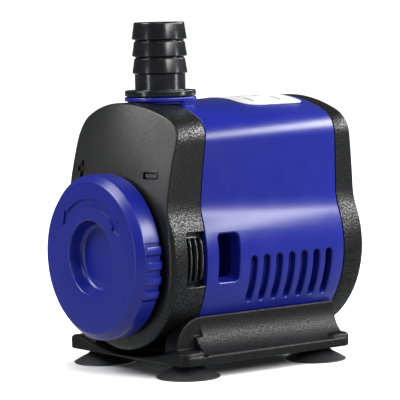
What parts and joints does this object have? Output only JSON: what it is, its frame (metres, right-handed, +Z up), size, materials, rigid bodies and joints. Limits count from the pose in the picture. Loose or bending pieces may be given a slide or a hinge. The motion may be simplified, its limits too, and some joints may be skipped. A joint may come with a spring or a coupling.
{
  "type": "fountain submersible pump",
  "caption": "Submersible fountain pump: blue motor casing, black end covers, turning flow dial, barbed hose nozzle, press latches, and a base on suction cups.",
  "frame": {"origin": "on the floor plane that the suction cups stand on, below the middle of the whole pump", "axes": "+Z up, along the outlet nozzle; -Y is the front, where the flow dial faces; +X is on the right when the dial is seen from the front"},
  "size_m": [0.0738, 0.1014, 0.1257],
  "materials": {
    "blue_plastic": "satin moulded ABS",
    "black_plastic": "fine spark-eroded texture",
    "gloss_black_plastic": "polished moulding",
    "rubber": "smooth soft rubber",
    "grey_plastic": "plain moulding",
    "white_plastic": "plain moulding",
    "ferrite": "ground ferrite",
    "ceramic": "polished ceramic",
    "lamination_steel": "stamped laminations",
    "copper_wire": "enamelled wire",
    "potting": "cast epoxy",
    "screw_steel": "passivated stainless",
    "label": "blank printed sticker"
  },
  "bodies": {
    "housing": {"base_plate": "black_plastic", "front_cover": "black_plastic", "rear_cover": "black_plastic", "body_shell": "blue_plastic", "suction_cup_front_left": "rubber", "suction_cup_front_right": "rubber", "suction_cup_rear_left": "rubber", "suction_cup_rear_right": "rubber", "cord_gland": "rubber", "chamber_seal": "rubber", "front_bush": "rubber", "rear_bush": "rubber", "pump_chamber": "blue_plastic", "volute_cover": "grey_plastic", "motor_housing": "blue_plastic", "coil_bobbin_left": "white_plastic", "coil_bobbin_right": "white_plastic", "rotor_shaft": "ceramic", "stator_pole_left": "lamination_steel", "stator_pole_right": "lamination_steel", "stator_yoke": "lamination_steel", "coil_winding_left": "copper_wire", "coil_winding_right": "copper_wire", "potting_plug": "potting", "rear_screw_1": "screw_steel", "rear_screw_2": "screw_steel", "rear_screw_3": "screw_steel", "rear_screw_4": "screw_steel", "top_label": "label"},
    "dial": {"flow_dial": "blue_plastic"},
    "latch_right": {"latch_tab_right": "gloss_black_plastic"},
    "latch_left": {"latch_tab_left": "gloss_black_plastic"},
    "nozzle": {"outlet_nozzle": "gloss_black_plastic", "nozzle_o_ring": "rubber"},
    "rotor": {"rotor_sleeve": "white_plastic", "rotor_magnet": "ferrite"},
    "impeller": {"impeller": "white_plastic"}
  },
  "joints": [
    {"name": "dial_turn", "type": "hinge", "parent": "housing", "child": "dial", "pos_m": [0, -0.04135, 0.0425], "axis": [0, -1, 0], "range_deg": [-40, 40]},
    {"name": "nozzle_swivel", "type": "hinge", "parent": "housing", "child": "nozzle", "pos_m": [0, -0.01785, 0.1011], "axis": [0, 0, 1], "continuous": true},
    {"name": "latch_right_press", "type": "slide", "parent": "housing", "child": "latch_right", "axis": [-1, 0, 0], "range_m": [0, 0.0015], "stiffness_N_per_m": 1500, "springref_m": -0.001},
    {"name": "latch_left_press", "type": "slide", "parent": "housing", "child": "latch_left", "axis": [1, 0, 0], "range_m": [0, 0.0015], "stiffness_N_per_m": 1500, "springref_m": -0.001},
    {"name": "rotor_spin", "type": "hinge", "parent": "housing", "child": "rotor", "pos_m": [0, 0.00235, 0.0425], "axis": [0, 1, 0], "continuous": true},
    {"name": "impeller_play", "type": "hinge", "parent": "rotor", "child": "impeller", "pos_m": [0, -0.01005, 0.0425], "axis": [0, 1, 0], "range_deg": [-118, 118]}
  ]
}
